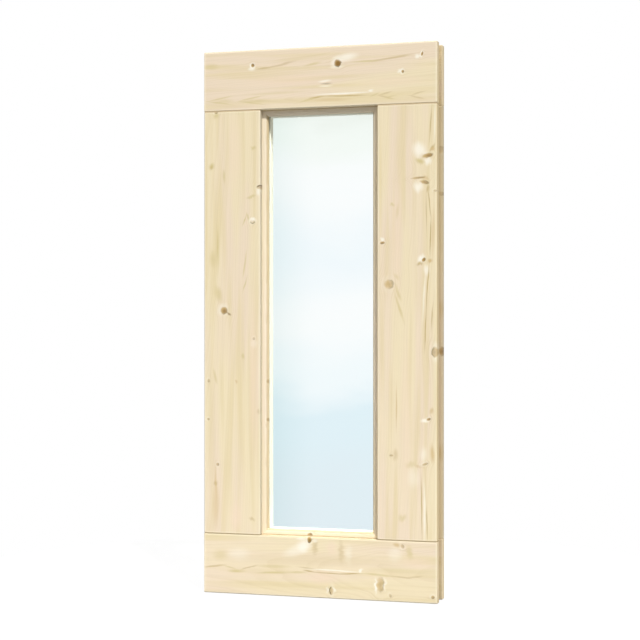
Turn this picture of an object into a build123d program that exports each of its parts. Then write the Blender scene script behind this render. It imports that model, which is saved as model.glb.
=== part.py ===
"""Fixed timber window for a log wall.

Two casings of wide planed boards are fixed to a narrower core frame, so that a groove is left
all round the outside for the logs of the wall. The pane lies in a rebate of the core frame,
between strips of glazing tape, and is held by four mitred ovolo beads.

Frame: millimetres, +X to the viewer's right, +Y into the building, +Z up. The origin is on the
underside of the core sill, the floor of the bottom groove, midway across and midway through.
"""

import os

from build123d import *

# Outline of the casings, seen from the front
window_width = 480.0
window_height = 1090.0
stile_width = 120.0
top_rail_width = 120.0
bottom_rail_width = 120.0

# Thickness of the two casings, and the groove that they leave for the wall
front_casing_thickness = 18.0
rear_casing_thickness = 18.0
wall_thickness = 28.0
wall_clearance = 2.0
groove_depth = 25.0

# Core frame: how far it shows inside the casings, and the rebate that takes the pane
sight_margin = 12.0
rebate_depth = 10.0

# Pane and the tape that beds it
pane_thickness = 4.0
pane_edge_clearance = 2.0
tape_thickness = 2.0
tape_width = 9.0
tape_inset = 1.0

# Ovolo glazing bead: its round, and its square edge at the pane
ovolo_radius = 7.0
bead_edge_height = 2.0

# Eased edges
board_arris = 2.5
board_end_chamfer = 0.8
sight_arris = 2.0

# Depths, counted from the front face
groove_width = wall_thickness + wall_clearance
core_front = front_casing_thickness
core_back = core_front + groove_width
window_depth = core_back + rear_casing_thickness
rebate_floor = core_front + rebate_depth
pane_back = rebate_floor - tape_thickness
pane_front = pane_back - pane_thickness
bead_back = pane_front - tape_thickness
ovolo_foot = bead_back - bead_edge_height
bead_setback = ovolo_foot - ovolo_radius

# Widths and heights
half_width = window_width / 2
opening_half_width = half_width - stile_width
core_half_width = half_width - groove_depth
sight_half_width = opening_half_width - sight_margin
casing_bottom = -groove_depth
casing_top = casing_bottom + window_height
opening_bottom = casing_bottom + bottom_rail_width
opening_top = casing_top - top_rail_width
opening_middle = (opening_top + opening_bottom) / 2
opening_width = 2 * opening_half_width
opening_height = opening_top - opening_bottom
core_bottom = casing_bottom + groove_depth
core_top = casing_top - groove_depth
sight_bottom = opening_bottom + sight_margin
sight_top = opening_top - sight_margin


def at_depth(depth):
    """Y of a point this far behind the front face."""
    return depth - window_depth / 2


def upright_plane(depth):
    """The upright plane at this depth, facing the viewer, with its middle over the origin."""
    return Plane(origin=(0, at_depth(depth), 0), x_dir=(1, 0, 0), z_dir=(0, -1, 0))


def save(piece, name):
    """Labels a finished piece and writes it to its own file."""
    piece.part.label = name
    export_step(piece.part, f"parts/{name}.step")


def casing_stile(name, middle_x, front, back):
    """An upright casing board, planed with four rounded arrises, with its sawn ends eased."""
    with BuildPart() as stile:
        with BuildSketch(Plane.XY.offset(opening_bottom)):
            with Locations((middle_x, at_depth((front + back) / 2))):
                RectangleRounded(stile_width, back - front, board_arris)
        extrude(amount=opening_height)
        chamfer(stile.faces().filter_by(Axis.Z).edges(), length=board_end_chamfer)
    save(stile, name)


def casing_rail(name, bottom, top, front, back):
    """A level casing board that runs right across, planed and eased like the stiles."""
    with BuildPart() as rail:
        with BuildSketch(Plane.YZ.offset(-half_width)):
            with Locations((at_depth((front + back) / 2), (bottom + top) / 2)):
                RectangleRounded(back - front, top - bottom, board_arris)
        extrude(amount=window_width)
        chamfer(rail.faces().filter_by(Axis.X).edges(), length=board_end_chamfer)
    save(rail, name)


def casing(layer, front, back):
    """The four boards of one casing: the stiles stand between the rails."""
    stile_middle = (half_width + opening_half_width) / 2
    casing_rail(f"{layer}_top_rail", opening_top, casing_top, front, back)
    casing_rail(f"{layer}_bottom_rail", casing_bottom, opening_bottom, front, back)
    casing_stile(f"{layer}_left_stile", -stile_middle, front, back)
    casing_stile(f"{layer}_right_stile", stile_middle, front, back)


def core_member(name, left, right, bottom, top, grain, inward):
    """A member of the core frame, with its share of the glazing rebate.

    grain is the axis along the member and inward the one that points into the opening: the rear
    edge that shows round the pane is rounded.
    """
    with BuildPart() as member:
        with BuildSketch(upright_plane(core_back)):
            with Locations(((left + right) / 2, (bottom + top) / 2)):
                Rectangle(right - left, top - bottom)
        extrude(amount=core_back - core_front)
        with BuildSketch(upright_plane(rebate_floor)):
            with Locations((0, opening_middle)):
                Rectangle(opening_width, opening_height)
        extrude(amount=rebate_depth, mode=Mode.SUBTRACT)
        sight_edge = member.edges().filter_by(grain).group_by(Axis.Y)[-1].sort_by(inward)[-1]
        fillet(sight_edge, radius=sight_arris)
    save(member, name)


def core_frame():
    """The core frame: its jambs run through, and its head and sill stand between them."""
    into_left = Axis((0, 0, 0), (1, 0, 0))
    into_right = Axis((0, 0, 0), (-1, 0, 0))
    into_sill = Axis((0, 0, 0), (0, 0, 1))
    into_head = Axis((0, 0, 0), (0, 0, -1))
    core_member(
        "core_left_jamb", -core_half_width, -sight_half_width, core_bottom, core_top, Axis.Z, into_left
    )
    core_member(
        "core_right_jamb", sight_half_width, core_half_width, core_bottom, core_top, Axis.Z, into_right
    )
    core_member(
        "core_sill", -sight_half_width, sight_half_width, core_bottom, sight_bottom, Axis.X, into_sill
    )
    core_member("core_head", -sight_half_width, sight_half_width, sight_top, core_top, Axis.X, into_head)


def flat_strip(name, left, right, bottom, top, front, back):
    """A square-edged flat piece between two depths."""
    with BuildPart() as strip:
        with BuildSketch(upright_plane(back)):
            with Locations(((left + right) / 2, (bottom + top) / 2)):
                Rectangle(right - left, top - bottom)
        extrude(amount=back - front)
    save(strip, name)


def glazing_tape(layer, front, back):
    """Four butted strips of tape round the pane, a little back from the edge that shows."""
    inner_x = sight_half_width + tape_inset
    outer_x = inner_x + tape_width
    inner_bottom = sight_bottom - tape_inset
    outer_bottom = inner_bottom - tape_width
    inner_top = sight_top + tape_inset
    outer_top = inner_top + tape_width
    flat_strip(f"{layer}_tape_top", -outer_x, outer_x, inner_top, outer_top, front, back)
    flat_strip(f"{layer}_tape_bottom", -outer_x, outer_x, outer_bottom, inner_bottom, front, back)
    flat_strip(f"{layer}_tape_left", -outer_x, -inner_x, inner_bottom, inner_top, front, back)
    flat_strip(f"{layer}_tape_right", inner_x, outer_x, inner_bottom, inner_top, front, back)


def pane():
    """The sheet of glass, clear of the rebate all round."""
    half = opening_half_width - pane_edge_clearance
    bottom = opening_bottom + pane_edge_clearance
    top = opening_top - pane_edge_clearance
    flat_strip("glass_pane", -half, half, bottom, top, pane_front, pane_back)


def glazing_bead(name, side_x, side_z, inward, side_length):
    """An ovolo bead along one side of the casing's opening, mitred at both ends.

    inward points from that side into the opening. The section is drawn with its first
    coordinate inwards and its second the depth behind the front face.
    """
    middle = Vector(side_x, at_depth(0), side_z)
    along = inward.cross(Vector(0, 1, 0))
    bead_flat = sight_margin - ovolo_radius
    with BuildPart() as bead:
        with BuildSketch(Plane(origin=middle, x_dir=inward, z_dir=along)):
            with BuildLine():
                Polyline((0, bead_back), (0, bead_setback), (bead_flat, bead_setback))
                RadiusArc((bead_flat, bead_setback), (sight_margin, ovolo_foot), -ovolo_radius)
                Polyline((sight_margin, ovolo_foot), (sight_margin, bead_back), (0, bead_back))
            make_face()
        extrude(amount=side_length / 2, both=True)
        for end in (1, -1):
            corner = middle + along * (end * side_length / 2)
            mitre = Plane(origin=corner, z_dir=inward + along * end)
            split(bisect_by=mitre, keep=Keep.BOTTOM)
    save(bead, name)


def glazing_beads():
    """The four beads, fixed to the inner edges of the front casing."""
    side = opening_half_width
    glazing_bead("bead_left", -side, opening_middle, Vector(1, 0, 0), opening_height)
    glazing_bead("bead_right", side, opening_middle, Vector(-1, 0, 0), opening_height)
    glazing_bead("bead_bottom", 0, opening_bottom, Vector(0, 0, 1), opening_width)
    glazing_bead("bead_top", 0, opening_top, Vector(0, 0, -1), opening_width)


def main():
    os.makedirs("parts", exist_ok=True)
    casing("front", 0, front_casing_thickness)
    core_frame()
    casing("rear", core_back, window_depth)
    glazing_tape("outer", bead_back, pane_front)
    pane()
    glazing_tape("inner", pane_back, rebate_floor)
    glazing_beads()


main()
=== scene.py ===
"""Looks of the fixed timber window: planed spruce, glass and tape, in a plain studio.

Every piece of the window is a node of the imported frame, so this script dresses those nodes and
adds the camera, the lamps and the floor. Lengths are in metres unless a name ends in _mm or a
docstring says millimetres.
"""

import logging
import math
import random
from dataclasses import dataclass, replace
from enum import Enum
from typing import Optional, Sequence, Union

import bmesh
import bpy
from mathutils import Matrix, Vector


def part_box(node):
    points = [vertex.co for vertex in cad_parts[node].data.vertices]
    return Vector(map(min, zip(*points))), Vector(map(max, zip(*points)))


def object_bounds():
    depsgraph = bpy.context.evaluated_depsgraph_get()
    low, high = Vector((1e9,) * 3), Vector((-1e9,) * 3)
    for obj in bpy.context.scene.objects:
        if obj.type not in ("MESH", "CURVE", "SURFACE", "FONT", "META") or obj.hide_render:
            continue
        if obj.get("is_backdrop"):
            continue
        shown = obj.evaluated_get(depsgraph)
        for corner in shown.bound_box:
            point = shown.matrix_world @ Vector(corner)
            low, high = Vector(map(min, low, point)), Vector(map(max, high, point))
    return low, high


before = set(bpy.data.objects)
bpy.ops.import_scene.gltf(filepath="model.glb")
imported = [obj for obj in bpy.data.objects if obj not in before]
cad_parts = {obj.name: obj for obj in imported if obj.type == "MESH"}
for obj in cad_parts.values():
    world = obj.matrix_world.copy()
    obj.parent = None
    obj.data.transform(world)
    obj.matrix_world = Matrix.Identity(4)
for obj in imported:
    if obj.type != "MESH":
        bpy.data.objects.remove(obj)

log = logging.getLogger("window")

MM_PER_METRE = 1000.0

Socket = bpy.types.NodeSocket
Feed = Union[bpy.types.NodeSocket, float, Sequence[float]]
Colour = tuple[float, float, float]
Pair = tuple[float, float]
Triple = tuple[float, float, float]


def linear(red: float, green: float, blue: float) -> Colour:
    """Turns a colour as it is seen on a screen into the shader's linear one.

    Args:
        red: Red, 0 to 255.
        green: Green, 0 to 255.
        blue: Blue, 0 to 255.

    Returns:
        The three linear values, 0 to 1.
    """

    def one(channel: float) -> float:
        """Undoes the screen's curve for one channel."""
        share = channel / 255
        return share / 12.92 if share <= 0.04045 else ((share + 0.055) / 1.055) ** 2.4

    return one(red), one(green), one(blue)


class Along(Enum):
    """Which way a board's grain runs."""

    LEVEL = "x"
    UPRIGHT = "z"


class Tone(Enum):
    """The colours that mark planed spruce."""

    GLOW = linear(255, 248, 232)
    ROSE = linear(244, 221, 197)
    OLIVE = linear(220, 203, 152)
    TAN = linear(218, 192, 142)
    AMBER = linear(200, 176, 122)
    HEART = linear(206, 174, 114)
    BROWN = linear(146, 112, 62)
    DARK = linear(106, 87, 44)


class JointShade(Enum):
    """Where a piece meets its neighbours, in a thin line of painted shade."""

    NONE = "none"
    ENDS = "ends"
    LOW_SIDE = "low side"
    HIGH_SIDE = "high side"


@dataclass(frozen=True)
class Mark:
    """A soft patch or a thin line in the wood, in the window's own coordinates.

    length_mm is along the grain, and turn_degrees leans it towards the board's width.
    """

    x_mm: float
    z_mm: float
    length_mm: float
    width_mm: float
    tone: Tone
    strength: float = 0.5
    turn_degrees: float = 0.0


@dataclass(frozen=True)
class Knot:
    """A knot, in the window's own coordinates.

    length_mm is along the grain, turn_degrees leans it towards the board's width, and
    dark_degrees is the way to its darker edge, counted like the turn. core darkens its inside.
    """

    x_mm: float
    z_mm: float
    length_mm: float
    width_mm: float
    strength: float = 0.8
    turn_degrees: float = 0.0
    dark_degrees: float = 120.0
    halo: float = 0.5
    rim: float = 0.5
    core: float = 0.0


def streak(along: Along, start: Pair, end: Pair, width_mm: float, tone: Tone, strength: float) -> Mark:
    """A thin line in the grain from one place to another.

    Args:
        along: Which way the board's grain runs.
        start: Where the line starts, in millimetres.
        end: Where it ends.
        width_mm: Its width.
        tone: Its colour.
        strength: How much of its colour shows.

    Returns:
        The line as a mark.
    """
    off_x, off_z = end[0] - start[0], end[1] - start[1]
    turn = math.atan2(off_z, off_x) if along is Along.LEVEL else math.atan2(off_x, off_z)
    middle = (start[0] + end[0]) / 2, (start[1] + end[1]) / 2
    return Mark(*middle, math.hypot(off_x, off_z), width_mm, tone, strength, math.degrees(turn))


def flame(
    tip: Pair, length_mm: float, opening_mm: float, tone: Tone, strength: float
) -> tuple[Mark, Mark]:
    """A growth ring's pointed end on a level board: two thin lines that part to the right.

    Args:
        tip: Where they meet, in millimetres.
        length_mm: How far they reach.
        opening_mm: How far above and below the tip they end.
        tone: Their colour.
        strength: How much of it shows.

    Returns:
        The two lines.
    """
    far = tip[0] + length_mm
    upper = streak(Along.LEVEL, tip, (far, tip[1] + opening_mm), 3.0, tone, strength)
    lower = streak(Along.LEVEL, tip, (far, tip[1] - opening_mm), 3.0, tone, strength)
    return upper, lower


@dataclass(frozen=True)
class Board:
    """How one board was cut from its log, and what its face shows.

    The pith's place is counted from the board's middle, across and into the board. taper leans
    the rings along the board, ring_mm is how wide one is and sway_mm how far the grain wanders.
    """

    node: str
    along: Along
    seed: float
    pith_across_mm: float
    pith_depth_mm: float
    taper: float = 0.05
    ring_mm: float = 4.2
    sway_mm: float = 26.0
    seam: JointShade = JointShade.NONE
    knots: tuple[Knot, ...] = ()
    marks: tuple[Mark, ...] = ()


class Graph:
    """Adds nodes to a shader tree and returns the sockets that they give."""

    def __init__(self, tree: bpy.types.NodeTree) -> None:
        """Keeps the tree that the nodes go into."""
        self.tree = tree

    def add(self, kind: str, **settings: object) -> bpy.types.Node:
        """Adds one node.

        Args:
            kind: The node's type name, without its first word.
            settings: Its properties.

        Returns:
            The node.
        """
        node = self.tree.nodes.new("ShaderNode" + kind)
        for name, value in settings.items():
            setattr(node, name, value)
        return node

    def feed(self, socket: Socket, value: Feed) -> None:
        """Links a socket, or sets its plain value.

        Args:
            socket: The input.
            value: A socket to link, a number, or a vector or colour.
        """
        if isinstance(value, bpy.types.NodeSocket):
            self.tree.links.new(value, socket)
        elif isinstance(value, (int, float)):
            socket.default_value = value
        elif socket.type == "RGBA" and len(value) == 3:
            socket.default_value = (*value, 1.0)
        else:
            socket.default_value = tuple(value)

    def feed_all(self, node: bpy.types.Node, values: Sequence[Feed]) -> None:
        """Feeds a node's inputs in their order."""
        for socket, value in zip(node.inputs, values):
            self.feed(socket, value)

    def math(self, operation: str, *values: Feed) -> Socket:
        """Works with numbers.

        Args:
            operation: The Math node's operation.
            values: Its numbers.

        Returns:
            The result.
        """
        node = self.add("Math", operation=operation)
        self.feed_all(node, values)
        return node.outputs[0]

    def product(self, *values: Feed) -> Socket:
        """Multiplies numbers.

        Args:
            values: Two numbers or more.

        Returns:
            Their product.
        """
        total = values[0]
        for value in values[1:]:
            total = self.math("MULTIPLY", total, value)
        return total

    def vector(self, operation: str, *values: Feed) -> Socket:
        """Works with vectors.

        Args:
            operation: The Vector Math node's operation.
            values: Its vectors.

        Returns:
            The result: a number for a length or a dot product, otherwise a vector.
        """
        node = self.add("VectorMath", operation=operation)
        self.feed_all(node, values)
        gives_number = operation in ("LENGTH", "DOT_PRODUCT")
        return node.outputs["Value" if gives_number else "Vector"]

    def scaled(self, vector: Feed, factor: Feed) -> Socket:
        """Multiplies a vector by one number.

        Args:
            vector: The vector.
            factor: The number.

        Returns:
            The longer or shorter vector.
        """
        node = self.add("VectorMath", operation="SCALE")
        self.feed(node.inputs[0], vector)
        self.feed(node.inputs["Scale"], factor)
        return node.outputs[0]

    def split(self, vector: Feed) -> tuple[Socket, Socket, Socket]:
        """Splits a vector.

        Args:
            vector: The vector.

        Returns:
            Its three numbers.
        """
        node = self.add("SeparateXYZ")
        self.feed(node.inputs[0], vector)
        return node.outputs[0], node.outputs[1], node.outputs[2]

    def join(self, *numbers: Feed) -> Socket:
        """Makes a vector.

        Args:
            numbers: Its three numbers.

        Returns:
            The vector.
        """
        node = self.add("CombineXYZ")
        self.feed_all(node, numbers)
        return node.outputs[0]

    def step(self, value: Feed, low: float, high: float) -> Socket:
        """Makes a smooth step.

        Args:
            value: The number that it follows.
            low: Where the step is 0.
            high: Where it is 1. This may be the lower of the two.

        Returns:
            The step, 0 to 1.
        """
        node = self.add("MapRange", interpolation_type="SMOOTHSTEP")
        self.feed(node.inputs["Value"], value)
        falling = low > high
        node.inputs["From Min"].default_value = min(low, high)
        node.inputs["From Max"].default_value = max(low, high)
        node.inputs["To Min"].default_value = 1.0 if falling else 0.0
        node.inputs["To Max"].default_value = 0.0 if falling else 1.0
        return node.outputs[0]

    def spread(self, value: Feed, low: float, high: float) -> Socket:
        """Stretches a value from the range 0 to 1 to the range low to high."""
        return self.math("MULTIPLY_ADD", value, high - low, low)

    def noise(self, vector: Feed, waves: Feed, detail: float = 2.0) -> bpy.types.Node:
        """Adds a 3-D noise.

        Args:
            vector: Where to read it.
            waves: How long one wave of it is along each axis.
            detail: Octaves.

        Returns:
            The noise node, with its Fac and Color outputs.
        """
        node = self.add("TexNoise", noise_dimensions="3D")
        self.feed(node.inputs["Vector"], self.vector("DIVIDE", vector, waves))
        node.inputs["Scale"].default_value = 1.0
        node.inputs["Detail"].default_value = detail
        node.inputs["Roughness"].default_value = 0.5
        return node

    def shift(self, vector: Feed, waves: Feed, reach: Feed, detail: float = 2.0) -> Socket:
        """Makes a noise that moves a place about.

        Args:
            vector: Where to read the noise.
            waves: How long one wave of it is along each axis.
            reach: Twice as far as it moves along each axis, about.
            detail: Octaves.

        Returns:
            How far to move.
        """
        colour = self.noise(vector, waves, detail).outputs["Color"]
        centred = self.vector("SUBTRACT", colour, (0.5, 0.5, 0.5))
        return self.vector("MULTIPLY", centred, reach)

    def inside(self, place: Feed, middle: Pair, turn_degrees: float, size: Pair) -> Socket:
        """Puts a place into a mark's own coordinates, where the mark's edge is 1 from its middle.

        Args:
            place: The place along, across and through the board.
            middle: The mark's middle, along and across.
            turn_degrees: Its turn from along towards across.
            size: Its length and width.

        Returns:
            The place in those coordinates.
        """
        node = self.add("Mapping", vector_type="TEXTURE")
        self.feed(node.inputs["Vector"], place)
        node.inputs["Location"].default_value = (*middle, 0.0)
        node.inputs["Rotation"].default_value = (0.0, 0.0, math.radians(turn_degrees))
        node.inputs["Scale"].default_value = (size[0] / 2, size[1] / 2, 1.0)
        return node.outputs[0]

    def mix(self, factor: Feed, first: Feed, second: Feed, blend: str = "MIX") -> Socket:
        """Mixes two colours.

        Args:
            factor: Share of the second colour.
            first: The first colour.
            second: The second colour.
            blend: The blend mode's name.

        Returns:
            The mixed colour.
        """
        node = self.add("Mix", data_type="RGBA", blend_type=blend)
        self.feed(node.inputs["Factor"], factor)
        colours = [socket for socket in node.inputs if socket.type == "RGBA"]
        self.feed(colours[0], first)
        self.feed(colours[1], second)
        return next(socket for socket in node.outputs if socket.type == "RGBA")

    def shaded(self, colour: Feed, shade: Feed) -> Socket:
        """Multiplies a colour by one number."""
        return self.mix(1.0, colour, self.join(shade, shade, shade), "MULTIPLY")

    def tinted(self, colour: Feed, tint: Feed, share: Feed) -> Socket:
        """Multiplies a colour by another, over the given share of the surface."""
        return self.mix(share, colour, self.mix(1.0, colour, tint, "MULTIPLY"))

    def seen_directly(self) -> Socket:
        """Tells the rays that are seen from those that only light.

        Returns:
            1 for rays from the camera, in a mirror or through glass, and otherwise 0.
        """
        ray = self.add("LightPath")
        direct = self.math("MAXIMUM", ray.outputs["Is Camera Ray"], ray.outputs["Is Transmission Ray"])
        return self.math("MAXIMUM", direct, ray.outputs["Is Glossy Ray"])

    def either(self, share: Feed, first: Socket, second: Socket) -> Socket:
        """Chooses between two shaders.

        Args:
            share: Share of the second.
            first: The first shader.
            second: The second shader.

        Returns:
            The mixed shader.
        """
        node = self.add("MixShader")
        self.feed_all(node, (share, first, second))
        return node.outputs[0]

    def surface(
        self, colour: Feed, roughness: Feed, height: Socket, strength: float, depth: float
    ) -> bpy.types.Node:
        """Adds an opaque surface with a fine relief.

        Args:
            colour: Its colour.
            roughness: Its roughness.
            height: The relief, 0 to 1.
            strength: How much of the relief shows.
            depth: How deep the relief is, in metres.

        Returns:
            The shader's node.
        """
        node = self.add("BsdfPrincipled")
        self.feed(node.inputs["Base Color"], colour)
        self.feed(node.inputs["Roughness"], roughness)
        relief = self.add("Bump")
        relief.inputs["Strength"].default_value = strength
        relief.inputs["Distance"].default_value = depth
        self.feed(relief.inputs["Height"], height)
        self.feed(node.inputs["Normal"], relief.outputs["Normal"])
        return node


def new_material(name: str) -> tuple[bpy.types.Material, Graph]:
    """Makes an empty material.

    Args:
        name: Its name.

    Returns:
        The material and the graph that fills it.
    """
    material = bpy.data.materials.new(name)
    material.use_nodes = True
    material.node_tree.nodes.clear()
    return material, Graph(material.node_tree)


def surface_output(graph: Graph, shader: Socket) -> None:
    """Ends a material's graph in its output."""
    graph.feed(graph.add("OutputMaterial").inputs["Surface"], shader)


class KnotGroup:
    """The node group that works out one knot: its body, rim and halo, and how it parts the grain.

    Distances are from the knot's middle, where its edge is at 1, and sides run from -1 at its
    pale side to 1 at its dark side. A pair of values is where a step begins and ends.
    """

    INPUTS = {"Near": "Vector", "Dark side": "Vector", "Ragged": "Float", "Off across": "Float"}
    OUTPUTS = ("Body", "Deep", "Rim", "Halo", "Shift", "Reach")
    PARTING = 0.8
    CORE_SHIFT = 0.25
    BODY_EDGE = (1.3, 0.6)
    RIM_INNER = (0.5, 0.92)
    RIM_OUTER = (1.3, 0.95)
    RIM_SIDE = (-0.5, 0.9)
    HALO_INNER = (0.9, 1.2)
    HALO_OUTER = (2.6, 1.3)
    HALO_SIDE = (0.7, -0.6)
    HALO_LEAST = 0.25
    REACH = 2.6

    def __init__(self) -> None:
        """Builds the group once."""
        self.tree = bpy.data.node_groups.new("knot", "ShaderNodeTree")
        for name, kind in self.INPUTS.items():
            self.tree.interface.new_socket(name, in_out="INPUT", socket_type="NodeSocket" + kind)
        for name in self.OUTPUTS:
            self.tree.interface.new_socket(name, in_out="OUTPUT", socket_type="NodeSocketFloat")
        graph = Graph(self.tree)
        near, dark_side, ragged, off_across = self.tree.nodes.new("NodeGroupInput").outputs[:4]
        far = graph.math("ADD", graph.vector("LENGTH", near), ragged)
        side = graph.vector("DOT_PRODUCT", graph.vector("NORMALIZE", near), dark_side)
        body = graph.step(far, *self.BODY_EDGE)
        from_core = graph.vector("SUBTRACT", near, graph.scaled(dark_side, self.CORE_SHIFT))
        deep = graph.step(graph.vector("LENGTH", from_core), 1.0, 0.0)
        ring = graph.product(graph.step(far, *self.RIM_INNER), graph.step(far, *self.RIM_OUTER))
        rim = graph.product(ring, graph.step(side, *self.RIM_SIDE))
        pale_side = graph.spread(graph.step(side, *self.HALO_SIDE), self.HALO_LEAST, 1.0)
        wide_ring = graph.product(graph.step(far, *self.HALO_INNER), graph.step(far, *self.HALO_OUTER))
        halo = graph.product(wide_ring, pale_side)
        wide = graph.math("POWER", graph.math("DIVIDE", graph.math("MAXIMUM", far, 0.0), self.REACH), 3.0)
        reach = graph.math("DIVIDE", 1.0, graph.math("ADD", 1.0, wide))
        shift = graph.product(off_across, reach, self.PARTING)
        graph.feed_all(self.tree.nodes.new("NodeGroupOutput"), (body, deep, rim, halo, shift, reach))

    def place(
        self, graph: Graph, near: Socket, knot: Knot, ragged: Socket, off_across: Socket
    ) -> bpy.types.Node:
        """Adds one knot to a material.

        Args:
            graph: The material's graph.
            near: The place in the knot's own coordinates.
            knot: The knot.
            ragged: A small noise that roughens its outline.
            off_across: How far the place is from the knot's middle across the board.

        Returns:
            The group node, with its outputs by name.
        """
        node = graph.add("Group", node_tree=self.tree)
        way = math.radians(knot.dark_degrees - knot.turn_degrees)
        dark_side = (math.cos(way), math.sin(way), 0.0)
        graph.feed_all(node, (near, dark_side, ragged, off_across))
        return node


@dataclass(frozen=True)
class Spruce:
    """The colours of bare planed spruce and how strongly its growth rings show, with painted highlights and
    shade.

    late_share and figure_share are how far the late wood shows, away from a knot and beside it.
    The end grain is darker; the sides (of a level board its top) and the groove's faces get painted shade.
    """

    rose: Colour = linear(240, 222, 197)
    cream: Colour = linear(241, 226, 192)
    olive: Colour = linear(230, 213, 167)
    late: Colour = linear(206, 182, 130)
    # The pale colour laid along the eased edges is a painted highlight, for the light that those edges
    # catch.
    edge_highlight: Colour = linear(255, 244, 217)
    # The joint colour is a thin line of painted shade where the board meets its neighbour.
    seam: Colour = linear(208, 188, 152)
    end_shade: Colour = linear(240, 232, 216)
    # The side colour is painted shade on the faces that turn sideways, standing in for how the light falls
    # on them.
    painted_side_shade: Colour = linear(231, 222, 204)
    # The inner colour is painted shade on the faces that look to the front from inside the groove between
    # the casings.
    painted_groove_shade: Optional[Colour] = None
    late_share: float = 0.13
    figure_share: float = 0.5
    olive_share: float = 0.6
    edge_highlight_share: float = 0.45
    edge_highlight_mm: float = 5.0
    joint_shade_mm: float = 1.9
    smoothest: float = 0.52
    roughest: float = 0.72
    specular: float = 0.12
    relief_strength: float = 0.5
    relief_depth: float = 0.0002

    def dress(self, board: Board, knots: KnotGroup) -> bpy.types.Material:
        """Makes the material of one board.

        Args:
            board: How the board was cut, and its knots and marks.
            knots: The group that works out a knot.

        Returns:
            The material.
        """
        return BoardFace(board, self, knots).finished()


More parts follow.
